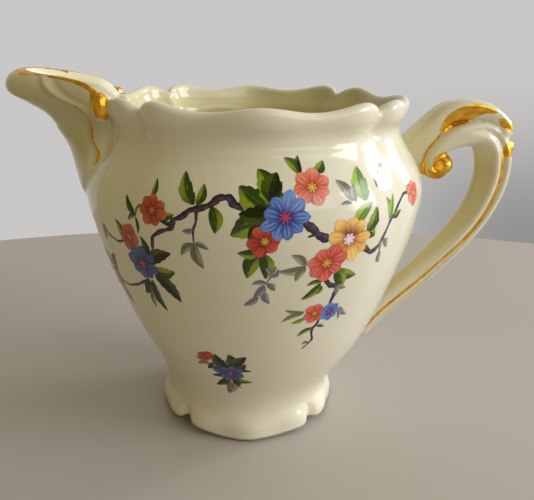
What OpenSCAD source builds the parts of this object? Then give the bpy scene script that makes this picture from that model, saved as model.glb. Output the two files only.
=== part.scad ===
// Porcelain cream jug: a four-lobed jar on a scalloped foot, with a beaked spout and a scrolled handle.
// Millimetres, +Z up. The origin is the centre of the foot, on the surface that the jug stands on.
// The spout points to -X, the handle to +X, and the painted front faces -Y.

/* [Jar] */
// Height of the rim above the table
rim_height = 90; // [86:0.5:94]
// How far the jar sits off the foot's centre, towards the handle
jar_shift = 2.2; // [0:0.1:4]
// Thickness of the jar's wall
wall = 3; // [2:0.1:4]
// Height of the floor inside the jar
floor_height = 10.5; // [9:0.5:14]
// Depth of the four grooves between the jar's lobes
groove_depth = 1; // [0:0.1:2]
// Height of the waves along the rim, to each side of its mean
rim_wave = 0.7; // [0:0.1:1.5]

/* [Foot] */
// Height of the foot's skirt
foot_height = 6; // [4:0.5:8]
// Radius of the skirt at its widest
foot_radius = 25; // [24:0.5:28]
// Radius of the hollow under the foot
foot_hollow = 19; // [16:0.5:20]
// Width of the bare ring that the jug rests on
rest_width = 2.6; // [1:0.1:3]
// Height of the bare ring below the glazed skirt
rest_height = 0.6; // [0.4:0.1:1]

/* [Spout] */
// Half the angle that the spout's root takes of the jar, at the rim
spout_half_angle = 21; // [18:1:24]
// Angle by which the spout turns towards the painted front
spout_turn = 4; // [0:1:8]
// Thickness of the spout's wall
spout_wall = 2.6; // [2:0.1:3.5]
// Height at which the spout's pointed root begins
spout_root = 63; // [58:1:70]

/* [Handle] */
// Width of the strap across the jug
strap_width = 9; // [7:0.5:11]
// Width of the root that joins the scroll to the jar
root_width = 7; // [5:0.5:9]
// Radius of the scroll's eye
eye_radius = 2.8; // [2:0.1:3.5]
// Width of the scroll's eye across the jug
eye_width = 11; // [8:0.5:13]

/* [Gilding] */
// Thickness of the gilding on the glaze
gilt = 0.25; // [0.2:0.05:0.5]
// Width of the gilt band along the spout's edge
edge_band = 2; // [1:0.25:3]

/* [Hidden] */

// Facets round the jar, round the foot, and across and along the spout
JAR_SIDES = 80;
FOOT_SIDES = 96;
SPOUT_ACROSS = 24;
SPOUT_ALONG = 18;
STRAP_SIDES = 16;
STRAP_STEPS = 48;

// Four lobes, each a quarter turn, with a notch between them
LOBE = 90;
// Angle between the waves of one lobe's edge
WAVE = 33;
// How far the waves push the lip and the skirt out
WAVE_OUT = 0.35;
// Width of a notch in the rim and of the groove below it, in degrees
NOTCH_WIDTH = 4;
GROOVE_WIDTH = 9;
// Depth of the rim's dip at a notch
NOTCH_DIP = 0.5;
// Height above which the jar's axis no longer shifts
AXIS_TOP = 25;

// The jar's outline, as [height, radius], from its waist above the foot to the lip
JAR = [[6, 23.9], [10, 24.2], [15, 26.1], [20, 28.7], [30, 34.1], [40, 38.1], [50, 41.5], [60, 44.1],
    [67, 45], [73, 43.4], [77, 40.9], [80.5, 38.9], [83, 38.5], [86, 39.1], [89, 40.1], [97, 40.3]];
// The beak's keel, as [height where its row meets the jar, distance from the jar's axis, height]
KEEL = [[63, 45, 63], [66, 46.5, 66], [70, 47.4, 70], [74, 48.3, 74], [78, 49.6, 78.3], [81, 51.8, 82],
    [83.5, 54.2, 85.4], [85.5, 57.4, 87.8], [87.5, 61, 89.7], [88.8, 63, 91.6], [89.6, 62.6, 94],
    [90.3, 60.6, 95.8], [91, 58.4, 96.4]];
// Height where the beak's last row meets the jar
SPOUT_TOP = 91;
// Half the angle of the spout's pointed root
ROOT_TIP_ANGLE = 3.5;
// Angle by which the spout's channel is narrower than the spout, on each side
CHANNEL_INSET = 3.3;
// Angle by which the gap in the jar's wall is narrower than the spout, on each side
GAP_INSET = 7;
// How far below the rim the gap's lowest point lies
GAP_DROP = 18;

// Height of the skirt's widest place, and how far it tucks in above
SKIRT_WIDEST = 2.6;
SKIRT_TUCK = 1.1;
// How far a notch pulls the skirt in, and how far it lifts its edge
SKIRT_PINCH = 1.3;
SKIRT_LIFT = 2.2;

// The strap's middle line, from the jar's lower wall to the end of the scroll, as [x, z, thickness]
STRAP = [[40.5, 30.2, 8.4], [47, 36.4, 7.3], [53.5, 43, 7.6], [59.5, 50, 8], [64.3, 56.8, 8.6],
    [67.6, 64, 9.4], [68.9, 70.8, 10], [68, 76.4, 9.6], [64.8, 80, 8.6], [60.2, 80.7, 7.6], [56, 79.6, 6.4],
    [52.6, 77.4, 4.8], [50.6, 74.9, 3.4], [49.9, 72.4, 3], [50.9, 70, 2.6], [53, 68.8, 2.2]];
// How round the strap's section is: 1 is a sharp diamond, 2 an ellipse
STRAP_ROUND = 1.7;
// Lowest and highest point of the strap's foot on the jar
STRAP_FOOT = [19.5, 34];
// The upper outline of the root and its leaf, from the jar's neck to the knuckle at the back
CREST = [[41, 79], [45.5, 82.2], [49.5, 85.3], [53, 88], [57, 89.7], [61, 89.8], [65, 88.8], [68.8, 86.6],
    [71.2, 83.6], [72.2, 80]];
// Middle of the scroll's eye, as [x, z]
EYE = [54.2, 72.6];
// Height of the bevel on each end of the eye
EYE_BEVEL = 1;
// Steps of the crest that the root reaches over, and steps of the strap that it sits on
ROOT_CREST = [1, 9];
ROOT_STRAP = [7, 13];
// Heights of the root on the jar's neck, and its overlap with the jar and the strap
ROOT_JAR = [66, 78];
OVERLAP = 0.03;
// First and last steps of the crest that the gilt leaf covers
LEAF = [2, 7];
// Angles round the strap's section that the gilt line covers
GILT_LINE = [45, 51];

// A smooth value through the points [key, ...] of a table, in its column c
function slope(t, i, c) =
    let (a = t[max(i - 1, 0)], b = t[min(i + 1, len(t) - 1)]) (b[c] - a[c]) / (b[0] - a[0]);
function step_of(t, k, i = 0) = (i < len(t) - 2 && k >= t[i + 1][0]) ? step_of(t, k, i + 1) : i;
function along(t, k, c = 1) =
    let (i = step_of(t, k), h = t[i + 1][0] - t[i][0], u = max(0, min(1, (k - t[i][0]) / h)), v = 1 - u)
    t[i][c] * v * v * (1 + 2 * u) + t[i + 1][c] * u * u * (1 + 2 * v)
    + h * u * v * (slope(t, i, c) * v - slope(t, i + 1, c) * u);
// A smooth point on a list of points, where k counts from 0 to the last
function knot(p, i) = p[max(0, min(len(p) - 1, i))];
function curve(p, k) =
    let (i = min(floor(k), len(p) - 2), u = k - i, a = knot(p, i - 1), b = knot(p, i), c = knot(p, i + 1),
        d = knot(p, i + 2))
    b + 0.5 * u * (c - a + u * (2 * a - 5 * b + 4 * c - d + u * (3 * b - a - 3 * c + d)));
function smooth(a, b, x) = let (u = max(0, min(1, (x - a) / (b - a)))) u * u * (3 - 2 * u);

// Angle to the middle of the nearest lobe, 0 to 45
function lobe_angle(az) = let (m = (az + 3600 + LOBE / 2) % LOBE) abs(m - LOBE / 2);
// A lobe's edge: crests at its middle and near its ends, 1 to -1
function lobe_wave(az) = cos(360 * lobe_angle(az) / WAVE);
// 1 at a notch, falling to 0 within about w degrees
function notch(az, w) = exp(-pow((LOBE / 2 - lobe_angle(az)) / w, 2));

function axis_x(z) = jar_shift * smooth(foot_height, AXIS_TOP, z);
function rim_z(az) = rim_height + rim_wave * lobe_wave(az) - NOTCH_DIP * notch(az, NOTCH_WIDTH);
function jar_radius(az, z) = along(JAR, z) - groove_depth * notch(az, GROOVE_WIDTH) * smooth(35, 75, z)
    + WAVE_OUT * lobe_wave(az) * smooth(80, 88, z);
function polar(az, r, z) = [axis_x(z) + r * sin(az), -r * cos(az), z];
function on_jar(az, z, out = 0) = polar(az, jar_radius(az, z) + out, z);

function unit(v) = v / norm(v);

// Triangles between the rows of a grid, row k next to row k + 1, each row n points long
function quad(a, b, c, d) = [[a, b, c], [a, c, d]];
function tube_faces(m, n) = [for (k = [0:m - 2], i = [0:n - 1]) let (j = (i + 1) % n)
    each quad(k * n + i, (k + 1) * n + i, (k + 1) * n + j, k * n + j)];
// The middle of a ring of points
function middle(ring) = [for (c = [0:2]) [for (p = ring) p[c]] * [for (p = ring) 1] / len(ring)];

// A solid skinned over closed rings, with a fan of triangles at each end
module skin(rings) {
    n = len(rings[0]);
    m = len(rings);
    points = [each [for (r = rings) each r], middle(rings[0]), middle(rings[m - 1])];
    first = [for (i = [0:n - 1]) [(i + 1) % n, m * n, i]];
    last = [for (i = [0:n - 1]) [(m - 1) * n + i, m * n + 1, (m - 1) * n + (i + 1) % n]];
    polyhedron(points, [each tube_faces(m, n), each first, each last]);
}

// A solid skinned over closed rings, the last joined to the first
module hoop(rings) {
    n = len(rings[0]);
    polyhedron([each [for (r = rings) each r], each rings[0]], tube_faces(len(rings) + 1, n));
}

// The gap in the jar's wall behind the spout: 1 at its lowest point, 0 beside it
function spout_az() = spout_turn - 90;
function gap(az) = 1 - pow(min(1, abs(az - spout_az()) / (spout_half_angle - GAP_INSET)), 3);
function jar_top(az) = rim_z(az) - GAP_DROP * gap(az);

module body() {
    az = [for (i = [0:JAR_SIDES - 1]) i * 360 / JAR_SIDES - 180];
    up = [0.06, 0.14, 0.25, 0.36, 0.47, 0.58, 0.67, 0.74, 0.8, 0.85, 0.88, 0.91, 0.94];
    down = [0.95, 0.91, 0.87, 0.82, 0.7, 0.55, 0.4, 0.25, 0.14];
    ring = function (t, out, drop)
        [for (a = az) on_jar(a, foot_height + t * (jar_top(a) - drop - foot_height), -out)];
    lip = [for (q = [0:30:180]) wall / 2 * [1 - cos(q), 1 - sin(q)]];
    foot_r = along(JAR, foot_height);
    color("ivory") skin([
        [for (a = az) polar(a, foot_r, foot_height)],
        each [for (t = up) ring(t, 0, 0)],
        each [for (l = lip) ring(1, l[0], l[1])],
        each [for (t = down) ring(t, wall, 0)],
        [for (a = az) polar(a, foot_r - wall - 2, floor_height + 1.5)],
        [for (a = az) polar(a, foot_r - wall - 6, floor_height)]]);
}

// The skirt's lower edge lifts at each notch, and its outline follows the lobes
function skirt_radius(az, z) = foot_radius - SKIRT_PINCH * notch(az, NOTCH_WIDTH) + WAVE_OUT * lobe_wave(az)
    - SKIRT_TUCK * pow((z - SKIRT_WIDEST) / (foot_height - SKIRT_WIDEST), 2);
function skirt_edge(az) = rest_height + SKIRT_LIFT * notch(az, NOTCH_WIDTH + 1) + 0.2 * (1 - lobe_wave(az));

module foot_ring() {
    az = [for (i = [0:FOOT_SIDES - 1]) i * 360 / FOOT_SIDES - 180];
    level = function (r, z) [for (a = az) polar(a, r, z)];
    outer = [for (k = [0:6]) [for (a = az) let (z = skirt_edge(a) + k / 6 * (foot_height - skirt_edge(a)))
        polar(a, skirt_radius(a, z), z)]];
    color("ivory") hoop([each outer, level(foot_hollow, foot_height), level(foot_hollow, rest_height),
        level(foot_hollow + rest_width, rest_height)]);
}

module resting_ring() {
    color("gainsboro") rotate_extrude($fn = FOOT_SIDES) translate([foot_hollow, 0])
        square([rest_width, rest_height]);
}

// Half the angle of the spout's root at a height, and the beak's share of its reach across that angle
function root_angle(z) = ROOT_TIP_ANGLE
    + (spout_half_angle - ROOT_TIP_ANGLE) * sin(90 * min(1, max(0, z - spout_root) / 13));
function beak(s) = 1 - pow(abs(s), 1.8);
function beak_rise(s) = 1 - pow(1 - beak(s), 3.3);
function keel(z, c) = z < spout_root + 1 ? [jar_radius(spout_az(), z), z][c - 1] : along(KEEL, z, c);
// The keel set in by the thickness of the spout's wall
function keel_in(z, c) =
    let (d = unit([keel(z + 0.2, 1) - keel(z - 0.2, 1), keel(z + 0.2, 2) - keel(z - 0.2, 2)]))
    c == 1 ? keel(z, 1) - spout_wall * d[1] : keel(z, 2) + spout_wall * d[0];
// A point of the spout: s runs -1 to 1 across it and z is the height where its row meets the jar
function on_spout(s, z, inner = false) =
    let (half = root_angle(z) - (inner ? CHANNEL_INSET : 0), az = spout_az() + s * half,
        top = rim_z(az) - rim_height, h = z + top * smooth(80, 90, z), r = jar_radius(az, h),
        k = inner ? [keel_in(z, 1), keel_in(z, 2)] : [keel(z, 1), keel(z, 2)],
        out = max(0, k[0] - jar_radius(spout_az(), z)) * beak(s), up = max(0, k[1] - z) * beak_rise(s),
        skirt = inner ? 0 : spout_wall * 0.5 * (1 - pow(abs(s), 6)) * smooth(spout_root, 72, z))
    polar(az, r + skirt * (1 - beak(s)), h + up) + out * [sin(spout_az()), -cos(spout_az()), 0];

module spout() {
    s = [for (i = [0:SPOUT_ACROSS]) 2 * i / SPOUT_ACROSS - 1];
    rows = function (low, high) [for (k = [0:SPOUT_ALONG]) low + (high - low) * pow(k / SPOUT_ALONG, 0.75)];
    z_out = rows(spout_root, SPOUT_TOP);
    z_in = rows(spout_root + 3, SPOUT_TOP - 0.3);
    rings = [for (k = [0:SPOUT_ALONG]) [each [for (q = s) on_spout(q, z_out[k])],
        each [for (i = [0:SPOUT_ACROSS]) on_spout(s[SPOUT_ACROSS - i], z_in[k], true)]]];
    color("ivory") strip_skin(rings);
}

// A solid skinned over rings that are long thin strips, closed at each end straight across the strip
module strip_skin(rings) {
    n = len(rings[0]);
    m = len(rings);
    half = n / 2;
    end = function (k) [for (i = [0:half - 2]) let (a = k * n + i, b = k * n + n - 1 - i)
        each quad(a, a + 1, b - 1, b)];
    flip = function (faces) [for (f = faces) [f[2], f[1], f[0]]];
    polyhedron([for (r = rings) each r], [each tube_faces(m, n), each end(0), each flip(end(m - 1))]);
}

// The strap's section is a soft diamond: a is the angle round it, 0 on its outer back
function strap_section(a) = [cos(a), sin(a)]
    / pow(pow(abs(cos(a)), STRAP_ROUND) + pow(abs(sin(a)), STRAP_ROUND), 1 / STRAP_ROUND);
function strap_mid(k) = curve(STRAP, k);
function strap_side(k) = let (d = strap_mid(k + 0.05) - strap_mid(k - 0.05)) unit([d[1], -d[0]]);
function strap_wide(k) = strap_width * (1 - 0.12 * smooth(4, 0, k) - 0.25 * smooth(10, 15, k));
function on_strap(k, a, out = 0) =
    let (m = strap_mid(k), q = strap_section(a), e = q[0] * (m[2] / 2 + out) * strap_side(k))
    [m[0] + e[0], q[1] * (strap_wide(k) / 2 + out), m[1] + e[1]];
// The strap's foot, laid on the jar
function strap_foot(a) =
    let (q = strap_section(a), half = (STRAP_FOOT[1] - STRAP_FOOT[0]) / 2,
        z = STRAP_FOOT[0] + (1 - q[0]) * half,
        az = 90 + asin(q[1] * strap_wide(0) / 2 / jar_radius(90, z)))
    on_jar(az, z);

module handle_strap() {
    angles = [for (i = [0:STRAP_SIDES - 1]) i * 360 / STRAP_SIDES];
    steps = [for (i = [0:STRAP_STEPS]) i / STRAP_STEPS * (len(STRAP) - 1)];
    color("ivory") skin([[for (a = angles) strap_foot(a)],
        each [for (k = steps) [for (a = angles) on_strap(k, a)]]]);
}

// The crest's line, moved out from itself
function crest(k, out = 0) = let (d = unit(curve(CREST, k + 0.05) - curve(CREST, k - 0.05)))
    curve(CREST, k) + out * [-d[1], d[0]];

module handle_root() {
    strap_back = [for (k = [ROOT_STRAP[0]:0.5:ROOT_STRAP[1]])
        let (p = on_strap(k, 0, OVERLAP)) [p[0], p[2]]];
    jar_side = [for (z = [ROOT_JAR[0]:2:ROOT_JAR[1]]) [on_jar(90, z, OVERLAP)[0], z]];
    crest_side = [for (k = [ROOT_CREST[0]:0.5:ROOT_CREST[1]]) crest(k)];
    color("ivory") translate([0, root_width / 2, 0]) rotate([90, 0, 0]) linear_extrude(root_width)
        polygon([each jar_side, each crest_side, each strap_back]);
}

module scroll_eye() {
    rim = eye_radius;
    flat = eye_radius - EYE_BEVEL;
    color("gold") translate([EYE[0], eye_width / 2, EYE[1]]) rotate([90, 0, 0]) {
        cylinder(h = EYE_BEVEL, r1 = flat, r2 = rim, $fn = 48);
        translate([0, 0, EYE_BEVEL]) cylinder(h = eye_width - 2 * EYE_BEVEL, r = rim, $fn = 48);
        translate([0, 0, eye_width - EYE_BEVEL]) cylinder(h = EYE_BEVEL, r1 = rim, r2 = flat, $fn = 48);
    }
}

// A gilt band over the spout's upper edge
module spout_gilding() {
    s = [for (i = [0:2 * SPOUT_ACROSS]) i / SPOUT_ACROSS - 1];
    ring = function (under, core)
        [each under, each [for (i = [2:-1:0]) under[i] + gilt * unit(under[i] - core)]];
    rings = [for (q = s)
        let (a = on_spout(q, SPOUT_TOP - edge_band / 2), c = on_spout(q, SPOUT_TOP - 0.3, true))
        ring([a, on_spout(q, SPOUT_TOP), c], (a + c) / 2 - [0, 0, 1])];
    color("gold") strip_skin(rings);
}

// A gilt line down each edge of the strap's back
module strap_gilding() {
    steps = [for (i = [1:STRAP_STEPS - 1]) i / STRAP_STEPS * 8];
    low = GILT_LINE[0];
    high = GILT_LINE[1];
    color("gold") for (side = [0, 1]) mirror([0, side, 0])
        strip_skin([for (k = steps)
            [on_strap(k, low), on_strap(k, high), on_strap(k, high, gilt), on_strap(k, low, gilt)]]);
}

// The gilt leaf over the handle's crest
module leaf_gilding() {
    outer = [for (k = [LEAF[0]:0.25:LEAF[1]]) crest(k, gilt)];
    inner = [for (k = [LEAF[1]:-0.25:LEAF[0]]) crest(k)];
    color("gold") translate([0, root_width / 2, 0]) rotate([90, 0, 0]) linear_extrude(root_width)
        polygon([each outer, each inner]);
}

body();
foot_ring();
resting_ring();
spout();
handle_strap();
handle_root();
scroll_eye();
spout_gilding();
strap_gilding();
leaf_gilding();
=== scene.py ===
# %% [markdown]
# # A porcelain cream jug
# A small lobed jar on a scalloped foot, with a beaked spout, a scrolled handle, gilt edges and painted
# sprays. Lengths of the jug are in millimetres, and `MM` turns them into metres at the moment a mesh is
# made. Only the table, the lights and the camera are placed in metres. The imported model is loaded
# first. It fixes where each piece goes, and each shape below stands for its pieces.

# %% Load the frame
import math

import bmesh
import bpy
import numpy as np
from mathutils import Matrix, Vector


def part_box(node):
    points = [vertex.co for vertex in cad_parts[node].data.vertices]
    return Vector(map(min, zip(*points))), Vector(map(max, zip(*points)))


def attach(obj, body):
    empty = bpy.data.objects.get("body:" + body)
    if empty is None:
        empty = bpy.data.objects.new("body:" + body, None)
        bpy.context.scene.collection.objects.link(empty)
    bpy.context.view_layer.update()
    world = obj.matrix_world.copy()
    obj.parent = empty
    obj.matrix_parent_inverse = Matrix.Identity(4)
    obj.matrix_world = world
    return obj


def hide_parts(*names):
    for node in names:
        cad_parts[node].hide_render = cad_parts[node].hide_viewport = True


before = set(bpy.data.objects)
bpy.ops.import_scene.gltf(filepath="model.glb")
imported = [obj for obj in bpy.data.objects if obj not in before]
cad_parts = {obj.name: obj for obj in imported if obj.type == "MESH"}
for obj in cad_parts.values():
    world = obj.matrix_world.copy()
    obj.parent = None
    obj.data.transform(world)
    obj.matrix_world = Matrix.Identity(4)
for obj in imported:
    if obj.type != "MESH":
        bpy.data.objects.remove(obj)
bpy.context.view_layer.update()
MM = 0.001
jar_low, jar_high = (np.array(corner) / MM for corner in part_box("body"))
foot_high = np.array(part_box("foot_ring")[1]) / MM
print("jar, mm:", jar_low.round(1), jar_high.round(1))

# %% [markdown]
# ## Curves and tables
# A potter's profile is a few radii at a few heights, faired by eye. A natural cubic spline does the
# fairing here, because it also keeps the curvature smooth, and a glossy glaze shows every break in
# curvature as a kink.

# %% A faired curve through a few values
def faired(keys, values):
    """A function of a key that passes through the values, a natural cubic spline."""
    keys, values = np.array(keys, float), np.array(values, float)
    step = np.diff(keys)
    rise = np.diff(values) / step
    n = len(keys)
    rows = np.eye(n)
    right = np.zeros(n)
    for i in range(1, n - 1):
        rows[i, i - 1 : i + 2] = step[i - 1], 2 * (step[i - 1] + step[i]), step[i]
        right[i] = 6 * (rise[i] - rise[i - 1])
    bend = np.linalg.solve(rows, right)

    def at(key):
        key = np.clip(key, keys[0], keys[-1])
        k = np.clip(np.searchsorted(keys, key, side="right") - 1, 0, n - 2)
        h, u = step[k], key - keys[k]
        v = h - u
        return (
            (bend[k] * v**3 + bend[k + 1] * u**3) / (6 * h)
            + (values[k] / h - bend[k] * h / 6) * v
            + (values[k + 1] / h - bend[k + 1] * h / 6) * u
        )

    return at


def smooth(low, high, value):
    """0 at low, 1 at high, and eased between; low may lie above high."""
    u = np.clip((value - low) / (high - low), 0, 1)
    return u * u * (3 - 2 * u)


def bell(value, width):
    return np.exp(-((value / width) ** 2))


# %% [markdown]
# ## The jar's form
# The jar was cast in a mould with four lobes. A notch pinches the rim, and a groove runs down from it
# and fades out on the belly. Everything about the form is a function of an angle round the jar, 0 at
# the painted front and 90 at the handle, and a height.

# %% The jar's outline and its lobes
FOOT_TOP = foot_high[2]
JAR_SHIFT = 2.2  # how far the middle of the jar lies from the foot's, towards the handle
RIM = 90.0
WALL = 3.0
# (height, radius)
OUTLINE = [
    (5.5, 24), (10, 24.2), (15, 26.1), (20, 28.9), (30, 34.1), (40, 38.1), (50, 41.5), (60, 44.1),
    (67, 45), (73, 43.5), (77, 41), (80.5, 38.9), (83, 38.3), (85, 38.6), (87, 39.8), (89, 40.3),
    (92, 40.5), (97, 40.4),
]
outline = faired(*zip(*OUTLINE))


def lobe_angle(angle):
    return np.abs((angle + 3600 + 45) % 90 - 45)


LOBE_WAVE = 35.0  # one ripple of the rim, in degrees
LOBE_PEAK = 36.0  # where the rim rises beside each notch, in degrees from the middle of a lobe


def lobe_wave(angle):
    return np.cos(np.radians(360 * lobe_angle(angle) / LOBE_WAVE))


def notch(angle, width):
    return bell(45 - lobe_angle(angle), width)


def rim_height(angle):
    peak = 0.6 * bell(lobe_angle(angle) - LOBE_PEAK, 6)
    return RIM + 0.6 * lobe_wave(angle) + peak - 0.9 * notch(angle, 2.6)


def jar_radius(angle, height):
    groove = notch(angle, 8) * smooth(35, 75, height) * (1 - 0.5 * smooth(84, 90, height))
    ruffle = 0.5 * lobe_wave(angle) * smooth(82, 87, height)
    pinch = 0.9 * notch(angle, 3.0) * smooth(80, 87, height)
    ledge = 0.32 * smooth(80.9, 82.0, height) * smooth(86, 83, height)
    return outline(height) - 1.0 * groove + ruffle - pinch - ledge


def axis_at(height):
    """How far the middle of a level lies from the middle of the foot."""
    return JAR_SHIFT * smooth(FOOT_TOP, 25, height)


def polar(angle, radius, height):
    angle = np.radians(angle)
    x = axis_at(height) + radius * np.sin(angle)
    return np.stack(np.broadcast_arrays(x, -radius * np.cos(angle), height), -1)


def on_jar(angle, height, out=0.0):
    return polar(angle, jar_radius(angle, height) + out, height)


def round_jar(points):
    """The angle round the jar and the radius of each point: polar, turned back."""
    off = points[:, 0] - axis_at(points[:, 2])
    return np.degrees(np.arctan2(off, -points[:, 1])), np.hypot(off, points[:, 1])


# %% Grids of points become meshes
def grid_faces(rows, columns, wrap_columns=False, wrap_rows=False, start=0):
    faces = []
    for r in range(rows if wrap_rows else rows - 1):
        for c in range(columns if wrap_columns else columns - 1):
            d, s = (c + 1) % columns, (r + 1) % rows
            corners = (r * columns + c, r * columns + d, s * columns + d, s * columns + c)
            faces.append(tuple(start + i for i in corners))
    return faces


def make_piece(name, points, faces, nodes=()):
    mesh = bpy.data.meshes.new(name)
    mesh.from_pydata((np.array(points).reshape(-1, 3) * MM).tolist(), [], faces)
    mesh.validate()
    mesh.update()
    piece = bpy.data.objects.new(name, mesh)
    bpy.context.collection.objects.link(piece)
    mesh.polygons.foreach_set("use_smooth", [True] * len(mesh.polygons))
    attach(piece, "root")
    if nodes:
        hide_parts(*nodes)
    print(name, len(mesh.vertices), "points")
    return piece


# %% [markdown]
# ## Casting pieces together
# Cast porcelain has no sharp inside corners, because slip and glaze fill them. So a piece that grows
# out of the jar is built from plain closed parts that overlap, melted into one skin by a voxel remesh,
# and then softened: every point moves a little towards its neighbours, and back again where the form
# mustn't shrink.

# %% Closed parts, melting and softening
def add_tube(shape, rings):
    """Join a tube with closed ends to a bmesh."""
    verts = [[shape.verts.new(p * MM) for p in ring] for ring in rings]
    count = len(verts[0])
    for a, b in zip(verts, verts[1:]):
        for i in range(count):
            j = (i + 1) % count
            shape.faces.new((a[i], a[j], b[j], b[i]))
    shape.faces.new(verts[0][::-1])
    shape.faces.new(verts[-1])


def add_egg(shape, middle, radii):
    size = Matrix.Diagonal(Vector((*[r * MM for r in radii], 1)))
    place = Matrix.Translation(Vector(middle) * MM) @ size
    bmesh.ops.create_uvsphere(shape, u_segments=32, v_segments=24, radius=1, matrix=place)


def melted(shape, voxel):
    """The points and quads of overlapping parts, melted into one skin."""
    mesh = bpy.data.meshes.new("rough")
    shape.to_mesh(mesh)
    shape.free()
    rough = bpy.data.objects.new("rough", mesh)
    bpy.context.collection.objects.link(rough)
    melt = rough.modifiers.new("melt", "REMESH")
    melt.mode = "VOXEL"
    melt.voxel_size = voxel * MM
    graph = bpy.context.evaluated_depsgraph_get()
    done = bpy.data.meshes.new_from_object(rough.evaluated_get(graph))
    bpy.data.objects.remove(rough)
    points = np.empty(len(done.vertices) * 3)
    done.vertices.foreach_get("co", points)
    return points.reshape(-1, 3) / MM, np.array([tuple(face.vertices) for face in done.polygons])


def softened(points, quads, rounds, weight=0.5, keep_volume=True):
    """Move points towards the middle of their neighbours; weight may differ from point to point."""
    a, b = quads.ravel(), np.roll(quads, -1, axis=1).ravel()
    links = np.bincount(a, minlength=len(points))
    weight = np.broadcast_to(weight, len(points))[:, None]
    for k in range(rounds):
        total = np.stack([np.bincount(a, points[b, c], len(points)) for c in range(3)], -1)
        step = total / np.maximum(links, 1)[:, None] - points
        points = points + step * weight * (-1.04 if keep_volume and k % 2 else 1)
    return points


# %% [markdown]
# ## The jar
# One closed skin: out and up the wall, over the lip, down the inside, across the floor and back under
# the foot. Behind the spout the wall is cut away, because the spout's casting brings its own stretch of
# wall.

# %% The skin of the jar
SPOUT_ANGLE = -86.0
SPOUT_HALF = 21.0
FLOOR = 10.5
CAST_HALF = 35.0  # half the angle of the stretch of wall that is cast with the spout
CAST_LOW = 55.0  # where that stretch begins
CUT_DROP = 26.0  # how far below the rim the wall is cut away behind the spout
CORNER_TOP, CORNER_WIDE = 16.0, 5.5  # the round corner between the wall and the floor, inside
UNDERSIDE = [(0.5, 5.3), (8, 5.4), (16, 5.5), (21, 5.6)]  # (radius, height)
FLOOR_RADII = (14, 10, 6, 3, 0.5)


def cut_top(angle):
    """The height of the jar's wall: its rim, or lower behind the spout's casting."""
    across = np.minimum(1, np.abs(angle - SPOUT_ANGLE) / (CAST_HALF - 9))
    return rim_height(angle) - CUT_DROP * (1 - across**6)


def jar_rings():
    angle = np.linspace(-180, 180, 289)[:-1]
    top = cut_top(angle)
    lip = WALL / 2
    rings = [polar(angle, np.full_like(angle, radius), height) for radius, height in UNDERSIDE]
    for t in np.linspace(0, 1, 150):
        rings.append(on_jar(angle, FOOT_TOP + t * (top - lip - FOOT_TOP)))
    for turn in np.linspace(0, math.pi, 15)[1:-1]:
        height = top - lip + lip * math.sin(turn)
        rings.append(polar(angle, jar_radius(angle, top - lip) - lip * (1 - math.cos(turn)), height))
    for t in np.linspace(1, 0, 80):
        rings.append(on_jar(angle, CORNER_TOP + t * (top - lip - CORNER_TOP), -WALL))
    corner = jar_radius(angle, CORNER_TOP) - WALL
    for turn in np.linspace(0, math.pi / 2, 12)[1:]:
        radius = corner - CORNER_WIDE * (1 - math.cos(turn))
        rings.append(polar(angle, radius, CORNER_TOP - (CORNER_TOP - FLOOR) * math.sin(turn)))
    rings += [polar(angle, np.full_like(angle, radius), FLOOR) for radius in FLOOR_RADII]
    return np.array(rings)


rings = jar_rings()
rows, columns = rings.shape[:2]
faces = grid_faces(rows, columns, wrap_columns=True)
faces += [tuple(range(columns))[::-1], tuple(range((rows - 1) * columns, rows * columns))]
jar = make_piece("jar", rings, faces, ["body"])

# %% [markdown]
# ## The foot
# The skirt is scalloped like the rim, with a V pulled up at each notch. The jug stands on a narrow ring
# that was wiped clean before firing, so its bare body shows.

# %% The skirt and the bare ring
HOLLOW = 19.0  # radius of the recess under the jug
REST_WIDTH = 2.6
REST_HEIGHT = 0.6
FILLET_TOP = 9.0  # where the soft inside corner above the skirt has run out on the jar
EDGE_HIGH, EDGE_WIDE = 0.7, 0.8  # the rounding of the skirt's edge
SINK = 0.4  # how far the skirt's inner wall starts below the jar's underside


def skirt_radius(angle, height):
    swell = 1.25 + 0.35 * lobe_wave(angle) - 1.3 * notch(angle, 4)
    return jar_radius(angle, height) - 0.06 + swell * smooth(FILLET_TOP, 3.2, height) ** 1.3


def skirt_edge(angle):
    uneven = 1 - 0.55 * bell(angle - 40, 24)  # the skirt hangs a little lower to the right of the front
    return REST_HEIGHT + (1.5 * smooth(14, 38, lobe_angle(angle)) + 1.3 * notch(angle, 4.5)) * uneven


def foot_rings():
    angle = np.linspace(-180, 180, 361)[:-1]
    edge = skirt_edge(angle)
    flat = np.zeros_like(angle)
    rings = []
    for t in np.linspace(0, 1, 32):
        height = edge + EDGE_HIGH + t * (FILLET_TOP - edge - EDGE_HIGH)
        rings.append(polar(angle, skirt_radius(angle, height), height))
    for radius, height in ((23, 8.6), (HOLLOW, FOOT_TOP)):
        rings.append(polar(angle, flat + radius, height))
    for t in np.linspace(0, 1, 6):
        rings.append(polar(angle, flat + HOLLOW, FOOT_TOP - SINK + t * (REST_HEIGHT - FOOT_TOP + SINK)))
    rings.append(polar(angle, flat + HOLLOW + REST_WIDTH, REST_HEIGHT))
    low = skirt_radius(angle, edge + EDGE_HIGH)
    for turn in np.linspace(0, math.pi / 2, 7)[:-1]:
        round_off = 1 - math.sin(turn)
        rings.append(polar(angle, low - EDGE_WIDE * round_off, edge + EDGE_HIGH * round_off))
    return np.array(rings)


rings = foot_rings()
faces = grid_faces(len(rings), rings.shape[1], True, True)
foot = make_piece("foot", rings, faces, ["foot_ring"])


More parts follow.
